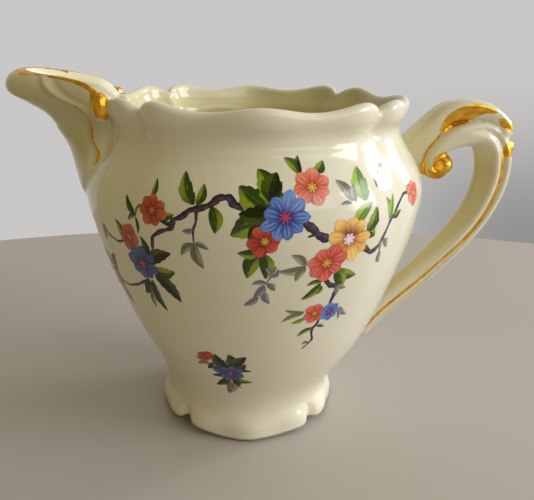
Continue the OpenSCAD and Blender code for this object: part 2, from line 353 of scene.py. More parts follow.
def rest_rings():
    angle = np.linspace(-180, 180, 181)[:-1]
    outer, chamfer = HOLLOW + REST_WIDTH, 0.25
    corners = [(HOLLOW + 0.1, REST_HEIGHT), (HOLLOW, chamfer), (HOLLOW + chamfer, 0),
               (outer - chamfer, 0), (outer, chamfer), (outer - 0.1, REST_HEIGHT)]
    return np.array([polar(angle, np.full_like(angle, radius), height) for radius, height in corners])


rings = rest_rings()
faces = grid_faces(len(rings), rings.shape[1], True, True)
bare_ring = make_piece("bare_ring", rings, faces, ["resting_ring"])

# %% [markdown]
# ## The spout
# Each row of the spout starts on the jar, runs out to the keel and comes back to the jar. The keel's
# line gives the beak its side view, and one number across the row, -1 to 1, gives the beak its plan. A
# stretch of the jar's wall, with the gap that the cream runs through, is melted to it, and the joins
# are softened.

# %% The spout as one surface
SPOUT_WALL = 2.6
CHANNEL_LOW = 66.0  # the lowest row of the channel
BEAK_FULL = 1.65  # a larger power makes the beak blunter from above
WAY_POWER = 0.6  # spreads the rows, closer together where the spout leaves the jar
LIP_BACK = 0.4  # how far the channel's last row lies below the outside's
LIP_HOLD = 1.3  # how far the lip carries on before it turns over
EAR_ROW, EAR_ACROSS = 88.2, 0.97  # where the curled ears sit
EAR_RADII = (2.1, 2.1, 3.8)
SPOUT_VOXEL = 0.33  # the size of the cubes it is melted with
# (height of the row, the keel's reach from the axis, the keel's height)
KEEL = [
    (62.9, 45, 62.9), (66, 46.5, 66), (70, 47.4, 70), (74, 48.3, 74), (78, 49.6, 78.3), (81, 51.8, 82),
    (83.5, 54.2, 85.4), (85.5, 57.4, 87.8), (87.5, 61, 89.7), (88.8, 63, 91.6), (89.6, 62.6, 94),
    (90.3, 60.6, 95.8), (91, 58.4, 96.4),
]
SPOUT_LOW, SPOUT_TOP = KEEL[0][0], KEEL[-1][0]
ROOT_TIP = 3.5  # half the angle of the spout's pointed root
CHANNEL_INSET = 3.3  # how much narrower the channel is, on each side
keel_rows, *keel_sides = zip(*KEEL)
keel_reach, keel_height = (faired(keel_rows, side) for side in keel_sides)
spout_way = np.array([math.sin(math.radians(SPOUT_ANGLE)), -math.cos(math.radians(SPOUT_ANGLE)), 0])
# The raised rib down each side of the spout, as (height of its row, place across)
RIB = [(74, 0.975), (76, 0.962), (78, 0.925), (80, 0.87), (83, 0.845), (85, 0.85), (87, 0.85), (88.2, 0.79),
       (89.5, 0.64), (91, 0.5)]
rib_at = faired(*zip(*RIB))


def root_angle(row):
    return ROOT_TIP + (SPOUT_HALF - ROOT_TIP) * np.sin(np.radians(90 * np.clip((row - 63) / 13, 0, 1)))


def root_edge(row):
    """Half the angle between the spout's two roots; above, the ears spread them."""
    return root_angle(row) + 3.0 * smooth(82.5, 86, row)


def beak(across):
    """How much of its keel's reach a row has: 1 on the keel, 0 at the roots."""
    return 1 - np.abs(across) ** BEAK_FULL


def relief(across, row):
    """The raised rib down each side, with a hollow on both sides of it."""
    gap = np.abs(across) - rib_at(row)
    fade = smooth(72, 76, row) * smooth(90.9, 89.5, row)
    rib = 1.1 * bell(gap, 0.036) - 0.8 * bell(gap + 0.085, 0.04) - 0.6 * bell(gap - 0.07, 0.032)
    return rib * fade


def row_height(angle, row, across):
    """Height of a row at its root, where it follows the waves of the rim."""
    wave = (rim_height(angle) - RIM) * smooth(80, 90, row)
    dip = 0.9 * smooth(0.86, 1, np.abs(across)) * smooth(86, 91, row)
    return row + wave - dip


def stand_off(across, reach, rise):
    """How far a row stands out and up from the jar, for its keel's reach and rise."""
    out = np.maximum(0, reach) * beak(across)
    up = np.maximum(0, rise) * (1 - (1 - beak(across)) ** 3.3)
    return up[..., None] * [0, 0, 1] + out[..., None] * spout_way


def spout_outside(across, row):
    angle = SPOUT_ANGLE + across * root_edge(row)
    height = row_height(angle, row, across)
    flank = 1.3 * (1 - np.abs(across) ** 6) * smooth(63, 72, row) * (1 - beak(across))
    thick = flank + relief(across, row)
    root = polar(angle, jar_radius(angle, height) + thick, height)
    return root + stand_off(across, keel_reach(row) - outline(row), keel_height(row) - row)


def spout_inside(across, row):
    angle = SPOUT_ANGLE + across * (root_angle(row) - CHANNEL_INSET)
    height = row_height(angle, row, across)
    slope = np.stack([keel(row + 0.2) - keel(row - 0.2) for keel in (keel_reach, keel_height)])
    slope = slope / np.linalg.norm(slope, axis=0)
    reach = keel_reach(row) - SPOUT_WALL * slope[1]
    rise = keel_height(row) + SPOUT_WALL * slope[0] - row
    root = polar(angle, jar_radius(angle, height) - 0.4, height)
    return root + stand_off(across, reach - outline(row), rise)


def bezier(a, b, c, d, u):
    v = 1 - u
    return a * v**3 + 3 * b * v * v * u + 3 * c * v * u * u + d * u**3


def way_of(row):
    """The way up the outside at which spout_surface reaches a row."""
    return (np.maximum(0, np.asarray(row, float) - SPOUT_LOW) / (SPOUT_TOP - SPOUT_LOW)) ** (1 / WAY_POWER)


def spout_surface(across, way):
    """way runs 0 to 1 up the outside, to 2 over the lip, and to 3 down the inside."""
    across, way = np.broadcast_arrays(np.asarray(across, float), np.asarray(way, float))
    last = SPOUT_TOP - LIP_BACK
    row_out = SPOUT_LOW + (SPOUT_TOP - SPOUT_LOW) * np.clip(way, 0, 1) ** WAY_POWER
    row_in = CHANNEL_LOW + (last - CHANNEL_LOW) * np.clip(3 - way, 0, 1) ** WAY_POWER
    outside, inside = spout_outside(across, row_out), spout_inside(across, row_in)
    corners = []
    for side, row in ((spout_outside, SPOUT_TOP + 0 * across), (spout_inside, last + 0 * across)):
        end = side(across, row)
        rise = end - side(across, row - 0.15)
        corners += [end, end + rise / np.linalg.norm(rise, axis=-1, keepdims=True) * LIP_HOLD]
    a, b, d, c = corners
    lip = bezier(a, b, c, d, np.clip(way - 1, 0, 1)[..., None])
    return np.where((way <= 1)[..., None], outside, np.where((way >= 2)[..., None], inside, lip))


# %% The stretch of wall cast with it, and its gap
GAP_LOW = 65.0  # the lowest point of the gap
PROUD, SUNK = 0.14, 0.6  # how far this wall stands off the jar's own, and sinks into it at the border


def gap_bottom(off):
    """The lowest open height at an angle off the spout's middle: where the channel is that narrow."""
    narrow = np.clip((np.abs(off) + CHANNEL_INSET - ROOT_TIP) / (SPOUT_HALF - ROOT_TIP), 0, 1)
    return GAP_LOW + 13 * np.degrees(np.arcsin(narrow)) / 90


def wall_off(height, side):
    shown = smooth(CAST_LOW, CAST_LOW + 7, height)
    return PROUD * side * shown - SUNK * (1 - side * shown)


def wall_rings():
    """Closed rings up the outside, over the edge and down the inside, one ring for each angle."""
    rings = []
    gap_half = SPOUT_HALF - CHANNEL_INSET
    lip = WALL / 2
    turn = np.linspace(0, math.pi, 13)[1:-1]
    for off in np.linspace(-CAST_HALF, CAST_HALF, 141):
        angle = SPOUT_ANGLE + off
        side = smooth(CAST_HALF, CAST_HALF - 8, abs(off))
        open_here = smooth(gap_half + 0.4, gap_half - 0.4, abs(off))
        rim = rim_height(angle) * (1 - open_here) + gap_bottom(off) * open_here
        top = rim + 0.1 * side - 0.6 * (1 - side)
        up = np.linspace(CAST_LOW, top - lip, 60)
        outer = on_jar(angle, up, wall_off(up, side))
        inner = on_jar(angle, up, -WALL - wall_off(up, side))[::-1]
        thick = WALL + 2 * wall_off(top, side)
        radius = jar_radius(angle, top - lip) + wall_off(top, side) - thick / 2 * (1 - np.cos(turn))
        height = top - lip + lip * np.sin(turn) * (1 - open_here)
        height = height + open_here * lip * (1 - 2 * turn / math.pi)
        rings.append(np.concatenate([outer, polar(angle, radius, height), inner]))
    return rings


# %% The spout's casting
def build_spout():
    shape = bmesh.new()
    across = 0.5 * np.sin(np.linspace(-math.pi / 2, math.pi / 2, 161)) + 0.5 * np.linspace(-1, 1, 161)
    way = np.concatenate([np.linspace(0, 1, 110), np.linspace(1, 2, 13)[1:-1], np.linspace(2, 3, 80)])
    add_tube(shape, spout_surface(across[:, None], way[None, :]))
    add_tube(shape, wall_rings())
    for side in (-1, 1):
        add_egg(shape, spout_surface(side * EAR_ACROSS, way_of(EAR_ROW)), EAR_RADII)
    points, quads = melted(shape, SPOUT_VOXEL)
    print("spout casting", len(points), "points before softening")
    (angle, radius), height = round_jar(points), points[:, 2]
    off, wall = np.abs(angle - SPOUT_ANGLE), jar_radius(angle, height)
    crease = (off - root_edge(height)) * np.radians(wall)
    seam = 1.6 * bell(crease, 2.0) * smooth(wall - 1.0, wall - 0.4, radius) * smooth(86, 84, height)
    mouth = smooth(22, 19, off) * smooth(wall + 3, wall + 1, radius) * smooth(62, 65, height)
    inside = smooth(wall + 0.3, wall - 0.8, radius)
    points = softened(points, quads, 24)
    soft = 0.5 * np.clip(np.maximum(seam, mouth * inside), 0, 1)
    points = softened(points, quads, 30, soft, keep_volume=False)
    return softened(points, quads, 8), quads


spout_points, quads = build_spout()
spout_nodes = ["spout", "spout_gilding"]
spout = make_piece("spout_casting", spout_points, quads.tolist(), spout_nodes)

# %% [markdown]
# ## The handle
# A handle like this is cast on its own and luted on with slip. It is one strap that climbs from the
# jar's lower wall, turns over and curls into a scroll with a round eye, and a leafed crest that ties
# the scroll to the neck. Its parts are swept as closed tubes and melted together like the spout's.

# %% Tubes along a curved line
def faired_line(points):
    """A smooth line through points of any size, where 0 is the first and len - 1 is the last."""
    points = np.array(points, float)
    sides = [faired(range(len(points)), points[:, c]) for c in range(points.shape[1])]
    return lambda k: np.stack([side(k) for side in sides], -1)


def swept(line, steps, section):
    """Rings round a line of [x, z, thickness, width]; sections are (out, across), -1 to 1."""
    k = np.asarray(steps, float)
    mid = line(k)
    way = line(k + 0.02)[:, :2] - line(k - 0.02)[:, :2]
    way /= np.linalg.norm(way, axis=1, keepdims=True)
    out = np.stack([way[:, 1], -way[:, 0]], -1)
    rings = []
    for i in range(len(k)):
        ring = section(k[i])
        flat = mid[i, :2] + ring[:, :1] * out[i] * mid[i, 2] / 2
        rings.append(np.stack([flat[:, 0], ring[:, 1] * mid[i, 3] / 2, flat[:, 1]], -1))
    return np.array(rings)


def closed_section(points, count=40):
    """A closed, faired ring from its points on the side +across, mirrored to the other side."""
    half = np.array(points, float)
    line = faired_line(np.concatenate([half, half[-2:0:-1] * [1, -1], half[:1]]))
    return line(np.linspace(0, 2 * len(half) - 2, count + 1)[:-1])


# %% The strap, the crest, the knuckle, the bead and the eye
# Each line is [x, z, thickness, width] at the places where the strap changes
STRAP = [
    (32.5, 22.2, 7.6, 8.6), (36.5, 26.6, 7.2, 8.2), (41.5, 31.4, 7.3, 8.2), (47, 36.4, 7.4, 8.3),
    (53.5, 43, 7.7, 8.6), (59.5, 50, 8.1, 8.9), (64.3, 56.8, 8.6, 9.2), (67.5, 64, 9.2, 9.6),
    (68.6, 70.8, 9.8, 10), (67.6, 76.6, 9.8, 10.4), (64.6, 80, 8.4, 10.6), (60.2, 80.6, 7.2, 10.4),
    (56, 79.4, 6.2, 9.8), (52.8, 77.2, 4.9, 9.2), (50.7, 74.6, 3.8, 8.8), (49.6, 72.2, 3.4, 8.8),
    (50.4, 70.3, 3.4, 9.2), (52.4, 69.9, 3.4, 9.6), (53.8, 71, 3, 9.6),
]
CREST = [
    (43.6, 72, 13.5, 7.2), (45.2, 75, 11.2, 7.2), (47.2, 78.4, 8.6, 7.4), (50, 82.3, 6.4, 7.8),
    (54, 85.7, 5.8, 8.6), (58.6, 87, 5.6, 9.2), (63, 86.9, 5, 9.4), (67, 85.2, 4.4, 9.2),
    (70, 82.6, 3.8, 8.6), (71, 80.6, 3, 7.6),
]
# Round lumps melted into the handle, as [x, z] and radii
EYE, EYE_RADII = (53.8, 72.3), (3.2, 5.7, 3.2)
KNUCKLE, KNUCKLE_RADII = (69.6, 81.3), (3.2, 4.6, 2.9)
BEAD, BEAD_RADII = (71.9, 77.0), (2.0, 3.4, 2.2)
strap_section = closed_section([
    (1, 0), (0.97, 0.42), (0.8, 0.74), (0.56, 0.86), (0.36, 0.75), (0.14, 0.92), (-0.08, 1), (-0.4, 0.82),
    (-0.75, 0.48), (-0.95, 0.2), (-1, 0),
])
scroll_section = closed_section([
    (1, 0), (0.94, 0.55), (0.62, 0.95), (0, 1), (-0.62, 0.95), (-0.94, 0.55), (-1, 0),
])
crest_section = closed_section([
    (1, 0), (0.97, 0.5), (0.72, 0.82), (0.1, 0.97), (-0.6, 0.97), (-0.97, 0.6), (-1, 0),
])


HANDLE_VOXEL = 0.3


def strap_shape(k):
    """The ridged strap, which turns into a plain ribbon where it curls."""
    t = smooth(9, 12, k)
    return strap_section * (1 - t) + scroll_section * t


def build_handle():
    shape = bmesh.new()
    for line, steps, section in ((STRAP, 150, strap_shape), (CREST, 90, lambda k: crest_section)):
        add_tube(shape, swept(faired_line(line), np.linspace(0, len(line) - 1, steps), section))
    for (x, z), radii in ((EYE, EYE_RADII), (KNUCKLE, KNUCKLE_RADII), (BEAD, BEAD_RADII)):
        add_egg(shape, (x, 0, z), radii)
    points, quads = melted(shape, HANDLE_VOXEL)
    points = softened(points, quads, 20)
    return softened(points, quads, 4, keep_volume=False), quads


def kept_in_wall(points, depth=1.5):
    """Pull in whatever would stand out inside the jar."""
    middle = np.stack([axis_at(points[:, 2]), 0 * points[:, 2]], -1)
    off = points[:, :2] - middle
    angle, radius = round_jar(points)
    least = jar_radius(angle, points[:, 2]) - depth
    low = radius < least
    moved = points.copy()
    moved[low, :2] = middle[low] + off[low] * (least / np.maximum(radius, 1))[low, None]
    return moved


handle_points, quads = build_handle()
handle_points = kept_in_wall(handle_points)
handle_nodes = ["handle_strap", "handle_root", "scroll_eye", "strap_gilding", "leaf_gilding"]
handle = make_piece("handle", handle_points, quads.tolist(), handle_nodes)

# %% [markdown]
# ## Where the gold goes
# A gilder brushes liquid gold on with a fine brush, by eye, so its edges wander a little. On the handle
# each brushed shape is drawn flat, seen from the side, and every point of the handle stores how far it
# lies inside the nearest one. The material turns that distance into a crisp edge.

# %% Distances to brushed lines and shapes
def line_distance(spots, line, wide):
    """Distance from points to a line, flat or in space, less the line's half width there."""
    best = np.full(len(spots), 1e9)
    for a, b, wide_a, wide_b in zip(line, line[1:], wide, wide[1:]):
        way = b - a
        t = np.clip(((spots - a) @ way) / max(way @ way, 1e-9), 0, 1)
        gap = np.linalg.norm(spots - a - t[:, None] * way, axis=1)
        best = np.minimum(best, gap - wide_a - t * (wide_b - wide_a))
    return best


def shape_distance(spots, ring):
    """Distance from flat spots to a closed shape, negative inside it."""
    inside = np.zeros(len(spots), bool)
    for a, b in zip(ring, np.roll(ring, -1, axis=0)):
        way = b - a
        crosses = (a[1] > spots[:, 1]) != (b[1] > spots[:, 1])
        x = a[0] + (spots[:, 1] - a[1]) * way[0] / (way[1] if way[1] else 1e-9)
        inside ^= crosses & (spots[:, 0] < x)
    best = line_distance(spots, np.concatenate([ring, ring[:1]]), np.zeros(len(ring) + 1))
    return np.where(inside, -best, best)


def smooth_ring(points, count=60):
    line = faired_line(list(points) + [points[0]])
    return line(np.linspace(0, len(points), count + 1)[:-1])


def brushed(line, count=60):
    """The points of a brushed line, and its half width at each."""
    places = faired_line(line)(np.linspace(0, len(line) - 1, count))
    return places[:, :2], places[:, 2]


# %% The handle's gold
# Lines are (x, z, half width), shapes are (x, z), and dots are a middle and a radius
SCROLL_LINE = [(58.8, 83.9, 0.3), (56.8, 83.6, 0.35), (54.6, 82.5, 0.35), (52.2, 80.6, 0.35), (50, 78, 0.35),
               (48.4, 75.4, 0.4), (48, 73, 0.5), (48.5, 70.9, 0.9), (50.2, 69.2, 1.5), (53, 68.6, 1.8)]
BACK_LINE = [(70.2, 76, 0.8), (69.8, 73, 0.6), (69.9, 69.1, 0.6), (68.3, 62.6, 0.65), (64.6, 54.9, 0.65),
             (58.7, 47.8, 0.65), (49.6, 38.6, 0.6), (40.2, 29.8, 0.6), (34.6, 23.3, 0.55)]
LEAF = [(51.6, 81.2), (52.2, 84.2), (54.6, 86.9), (58.2, 88.5), (62, 88.7), (64.8, 87.8), (66.4, 86.4),
        (63.4, 86.2), (61.2, 85.1), (59, 83.7), (56.6, 82.9), (54, 82)]
PATCH = [(66.9, 84.9), (68.9, 84.9), (71.2, 83.4), (72.2, 81.6), (70.4, 81.8), (68.2, 83)]
DOTS = [(EYE, 3.7), ((71.9, 76.9), 2.3)]
flat = handle_points[:, [0, 2]]
gold_gaps = [line_distance(flat, *brushed(line)) for line in (SCROLL_LINE, BACK_LINE)]
gold_gaps += [shape_distance(flat, smooth_ring(shape)) for shape in (LEAF, PATCH)]
gold_gaps += [np.linalg.norm(flat - middle, axis=1) - radius for middle, radius in DOTS]


def store(piece, name, values):
    """Keep a number for every point of a piece, for its finish to read."""
    mark = piece.data.attributes.new(name, "FLOAT", "POINT")
    mark.data.foreach_set("value", values)
    print(piece.name, name, "on", int((values > 0).sum()), "of", len(values), "points")


store(handle, "gilt", -np.min(gold_gaps, axis=0))

# %% [markdown]
# ## The spout's gilding
# A line follows the outer edge of the lip, broad at the beak, and ends on the curled ear at each side.
# A thinner line runs down each rib to a drop. These are lines in space, and only what faces outwards
# takes gold.

# %% Lines of gold on the spout
def spout_gilt(points):
    across = np.linspace(-0.985, 0.985, 90)
    nose = smooth(0.45, 0.15, np.abs(across))
    crest = across[20:-20]
    ear_row, drop = np.linspace(91.6, 87.4, 8), np.linspace(75.3, 87.6, 40)
    drop_wide = 0.42 + 0.8 * bell(drop - 76.9, 1.5) - 0.15 * smooth(82, 87, drop)
    lines = [
        (spout_surface(across, 1.04 - 0.02 * nose), 0.85 + 1.3 * nose),
        (spout_surface(crest, 1.35), 1.1 + 0 * crest),
    ]
    for sign in (-1, 1):
        ear = spout_surface(sign * EAR_ACROSS, way_of(np.minimum(ear_row, 91)))
        lines += [(ear, 2.4 + 0 * ear_row), (spout_surface(sign * rib_at(drop), way_of(drop)), drop_wide)]
    return np.min([line_distance(points, line, wide) for line, wide in lines], axis=0)


def vectors_of(piece, what):
    """The place ("co") or the normal of every point of a piece."""
    numbers = np.empty(len(piece.data.vertices) * 3)
    piece.data.vertices.foreach_get(what, numbers)
    return numbers.reshape(-1, 3)


def facing_out(points, normals):
    """How far the spout's skin faces away from its channel, or up: 1 is straight out."""
    outward = points - (points @ spout_way)[:, None] * spout_way
    outward = outward * [1, 1, 0] + spout_way * 4
    return (normals * outward).sum(1) / np.linalg.norm(outward, axis=1) + 0.5 * np.maximum(normals[:, 2], 0)


facing = facing_out(spout_points, vectors_of(spout, "normal"))
store(spout, "gilt", np.minimum(-spout_gilt(spout_points), 1.6 * (facing + 0.35)))

# %% [markdown]
# ## Where the glaze pools, and painted shade
# Glaze runs while it is molten, and is thicker and yellower where it gathers. The same darker colour is
# also painted as shade inside the jar, over the spout, and on the hollow side of the handle and where it
# nears the jar.

# %% A value for every point: thick glaze and painted shade
def depth_in_jar(spots):
    """How far points lie in from the jar's outer face; outside it is below zero."""
    angle, radius = round_jar(spots)
    return jar_radius(angle, spots[:, 2]) - radius


# Painted shade on the inside wall below the rim, with thicker glaze there.
def pool_and_shade_inside(spots):
    below_rim = smooth(6, 9, spots[:, 2]) * smooth(96, 84, spots[:, 2])
    return 0.8 * smooth(1.6, 2.8, depth_in_jar(spots)) * below_rim


for piece in (jar, foot):
    store(piece, "pool_and_shade", pool_and_shade_inside(vectors_of(piece, "co") / MM))
# Painted shade over the whole outside of the beak.
shade_over_spout = 0.75 * smooth(0.8, 5, -depth_in_jar(spout_points)) * smooth(98, 90, spout_points[:, 2])
store(spout, "pool_and_shade", np.maximum(pool_and_shade_inside(spout_points), shade_over_spout))
# Painted shade on the hollow side of the handle, away from its back line, and where it nears the jar.
far_from_line = line_distance(flat, *brushed(BACK_LINE))
shaded_hollow_side = smooth(0.5, 2.8, far_from_line) * smooth(79, 71, flat[:, 1])
shaded_near_jar = 0.7 * smooth(56, 47, flat[:, 0]) * smooth(66, 72, flat[:, 1])
store(handle, "pool_and_shade", np.maximum(shaded_hollow_side, shaded_near_jar))

# %% [markdown]
# ## Shader sums
# A material here is written as ordinary sums. `Wire` wraps one socket, so `0.1 + 0.05 * noise` adds
# Math nodes, and colours go through Mix nodes. `Nodes` makes any other node in one tree, and `Finish`
# starts a material with it.

# %% Wires, nodes and finishes
class Wire:
    def __init__(self, nodes, socket):
        self.nodes, self.socket = nodes, socket

    def sum(self, operation, a, b):
        return self.nodes.node("ShaderNodeMath", {"operation": operation}, {0: a, 1: b})

    def __add__(self, other):
        return self.sum("ADD", self, other)

    def __sub__(self, other):
        return self.sum("SUBTRACT", self, other)

    def __rsub__(self, other):
        return self.sum("SUBTRACT", other, self)

    def __mul__(self, other):
        return self.sum("MULTIPLY", self, other)

    __radd__, __rmul__ = __add__, __mul__

    def between(self, low, high):
        """0 below low, 1 above high, and soft between."""
        settings = {"interpolation_type": "SMOOTHSTEP"}
        values = {"Value": self, "From Min": low, "From Max": high, "To Min": 0.0, "To Max": 1.0}
        return self.nodes.node("ShaderNodeMapRange", settings, values)


class Nodes:
    def __init__(self, tree):
        self.tree = tree

    def node(self, kind, settings, values, output=0):
        """Make a node: its settings first, then the values or links of its sockets."""
        node = self.tree.nodes.new(kind)
        for key, value in settings.items():
            setattr(node, key, value)
        for key, value in values.items():
            socket = node.inputs[key]
            if isinstance(value, Wire):
                self.tree.links.new(value.socket, socket)
            else:
                socket.default_value = value
        return Wire(self, node.outputs[output])

    def mix(self, mask, a, b):
        """Colour a where mask is 0, b where it is 1."""
        a, b = (value if isinstance(value, Wire) else (*value, 1.0) for value in (a, b))
        return self.node("ShaderNodeMix", {"data_type": "RGBA"}, {0: mask, 6: a, 7: b}, 2)


class Finish(Nodes):
    def __init__(self, name, **fixed):
        self.material = bpy.data.materials.new(name)
        self.material.use_nodes = True
        super().__init__(self.material.node_tree)
        self.shader = self.tree.nodes["Principled BSDF"]
        for socket, value in fixed.items():
            self.shader.inputs[socket.replace("_", " ")].default_value = value
        self.place = self.node("ShaderNodeTexCoord", {}, {}, "Object")

    def noise(self, size_mm, detail=2.0, roughness=0.5):
        """Soft noise with blobs of about size_mm."""
        values = {"Vector": self.place, "Scale": 1000 / size_mm, "Detail": detail, "Roughness": roughness}
        return self.node("ShaderNodeTexNoise", {}, values, "Fac")

    def stored(self, name, output="Fac"):
        return self.node("ShaderNodeAttribute", {"attribute_name": name}, {}, output)

    def set(self, **links):
        for socket, wire in links.items():
            self.tree.links.new(wire.socket, self.shader.inputs[socket.replace("_", " ")])

    def bump(self, height, depth_mm):
        values = {"Strength": 1.0, "Distance": depth_mm * MM, "Height": height}
        self.set(Normal=self.node("ShaderNodeBump", {}, values))

    def cover(self, *pieces):
        for piece in pieces:
            piece.data.materials.clear()
            piece.data.materials.append(self.material)
        print(self.material.name, "on", [piece.name for piece in pieces])


# %% [markdown]
# ## Ivory glaze
# The glaze is clear and faintly yellow over a cream body. It is deeper and yellower where it is thick,
# and the same colour is painted as shade inside the jar, over the spout and on the handle's hollow
# side. It carries a few dark specks from the kiln, and has a barely wavy skin that softens the
# reflections of windows.

# %% The glaze
IVORY = (0.80, 0.76, 0.60)
CLOUDY = (0.77, 0.705, 0.48)
# The colour of thick glaze, used also as painted shade
POOLED_AND_SHADED = (0.58, 0.51, 0.235)
GOLD = (0.98, 0.56, 0.05)
DEEP_GOLD = (0.66, 0.30, 0.02)
SPECK = (0.40, 0.32, 0.18)
GLASSY = {"IOR": 1.52, "Specular_IOR_Level": 0.55}


def glaze(finish):
    """The glaze's colour and roughness."""
    cloud = finish.noise(26, 3)
    speck = finish.noise(0.7, 0).between(0.875, 0.89)
    colour = finish.mix(cloud.between(0.3, 0.75) * 0.5, IVORY, CLOUDY)
    # Thick glaze and painted shade, by the stored value
    colour = finish.mix(finish.stored("pool_and_shade"), colour, POOLED_AND_SHADED)
    return finish.mix(speck * 0.3, colour, SPECK), 0.09 + 0.06 * finish.noise(9, 3)


ivory = Finish("ivory_glaze", **GLASSY)
colour, rough = glaze(ivory)
ivory.set(Base_Color=colour, Roughness=rough)
ivory.bump(ivory.noise(14, 2) + 0.06 * ivory.noise(1.6, 2), 0.07)
ivory.cover(jar, foot)

# %% Bare porcelain
BISCUIT, RUBBED = (0.62, 0.57, 0.47), (0.40, 0.34, 0.26)
bare = Finish("bare_porcelain")
bare.set(Base_Color=bare.mix(bare.noise(3, 4).between(0.4, 0.8), BISCUIT, RUBBED))
bare.set(Roughness=0.62 + 0.2 * bare.noise(0.6, 2))
bare.bump(bare.noise(0.5, 3), 0.05)
bare.cover(bare_ring)

# %% [markdown]
# ## Burnished gold
# Liquid gold is fired on and then burnished. It is warm and deep, its brush marks show as faint
# streaks, and at worn places the glaze comes through.

# %% The gold, over the glaze of the handle and the spout
def gold(finish):
    """The gold's colour and roughness."""
    streak = finish.noise(2.2, 4, 0.6)
    return finish.mix(streak.between(0.35, 0.7), GOLD, DEEP_GOLD), 0.16 + 0.16 * streak


gilded = Finish("gilded_glaze", **GLASSY)
mask = (gilded.stored("gilt") + 0.25 * (gilded.noise(1.6, 2) - 0.5)).between(-0.05, 0.07)
(glaze_colour, glaze_rough), (gold_colour, gold_rough) = glaze(gilded), gold(gilded)
gilded.set(Base_Color=gilded.mix(mask, glaze_colour, gold_colour), Metallic=0.8 * mask)
gilded.set(Roughness=glaze_rough + mask * (gold_rough - glaze_rough))
gilded.bump(gilded.noise(10, 2) + 0.1 * gilded.noise(1.6, 2), 0.08)
gilded.cover(handle, spout)

# %% [markdown]
# ## Painted sprays
# The flowers are enamels laid on the glaze and fired again, so they stand a few hundredths of a
# millimetre proud. Each petal, leaf and twig is one stroke: a small grid draped on the jar, with a
# colour at every point, as a painter loads a brush with two colours. Later strokes lie over earlier
# ones. Places are (angle, height) as on the jar.

# %% Strokes draped on the jar
HAIR = 0.02  # half the width of the finest end of a stroke
TWIG_LIFT, LEAF_LIFT, FLOWER_LIFT = 0.030, 0.040, 0.060  # how far strokes stand over the glaze


def ink(red, green, blue):
    """A colour as the eye sees it, 0 to 255, made linear for the shader."""
    return (np.array([red, green, blue]) / 255) ** 2.2


def wash(a, b, t):
    """From colour a to colour b as t goes from 0 to 1."""
    return a + (b - a) * np.clip(t, 0, 1)[..., None]


class Spray:
    """Strokes gathered into one mesh."""

    def __init__(self, name):
        self.name, self.points, self.faces, self.colours, self.count = name, [], [], [], 0

    def stroke(self, place, right, up, colours, lift):
        """Drape a grid, in mm right and up from a place, at a small lift over the glaze."""
        angle, height = place
        right, up = np.broadcast_arrays(right, up)
        slope = outline(height + 0.5) - outline(height - 0.5)
        heights = height + up / math.hypot(1, slope)
        angles = angle + np.degrees(right / jar_radius(angle, height))
        grid = on_jar(angles, heights, lift)
        first = np.cross(grid[1, 0] - grid[0, 0], grid[1, 1] - grid[0, 0])
        last = np.cross(grid[-2, -2] - grid[-1, -1], grid[-2, -1] - grid[-1, -1])
        outward = polar(angle, 1.0, height) - polar(angle, 0.0, height)
        faces = grid_faces(*grid.shape[:2], start=self.count)
        if (first + last) @ outward > 0:
            faces = [face[::-1] for face in faces]
        self.points.append(grid.reshape(-1, 3))
        self.faces += faces
        self.colours.append(np.broadcast_to(colours, (*grid.shape[:2], 3)).reshape(-1, 3))
        self.count += grid.shape[0] * grid.shape[1]

    def finish(self):
        piece = make_piece(self.name, np.concatenate(self.points), self.faces)
        layer = piece.data.color_attributes.new("enamel", "FLOAT_COLOR", "POINT")
        colours = np.concatenate(self.colours)
        layer.data.foreach_set("color", np.c_[colours, np.ones(len(colours))].ravel())
        return piece


def between(a, b):
    """How far b lies right of and above a, in mm."""
    middle = (a[1] + b[1]) / 2
    slope = outline(middle + 0.5) - outline(middle - 0.5)
    return math.radians(b[0] - a[0]) * outline(middle), (b[1] - a[1]) * math.hypot(1, slope)


# %% Leaves
# Each kind of leaf is its light side, its dark side and its vein
LEAVES = {
    "green": (ink(136, 156, 44), ink(44, 70, 18), ink(26, 42, 10)),
    "bright": (ink(164, 190, 66), ink(96, 136, 40), ink(64, 98, 30)),
    "dark": (ink(70, 84, 20), ink(20, 30, 10), ink(12, 18, 6)),
    "grey": (ink(160, 162, 136), ink(112, 114, 92), ink(84, 84, 66)),
    "mauve": (ink(152, 150, 156), ink(116, 112, 124), ink(92, 88, 102)),
}


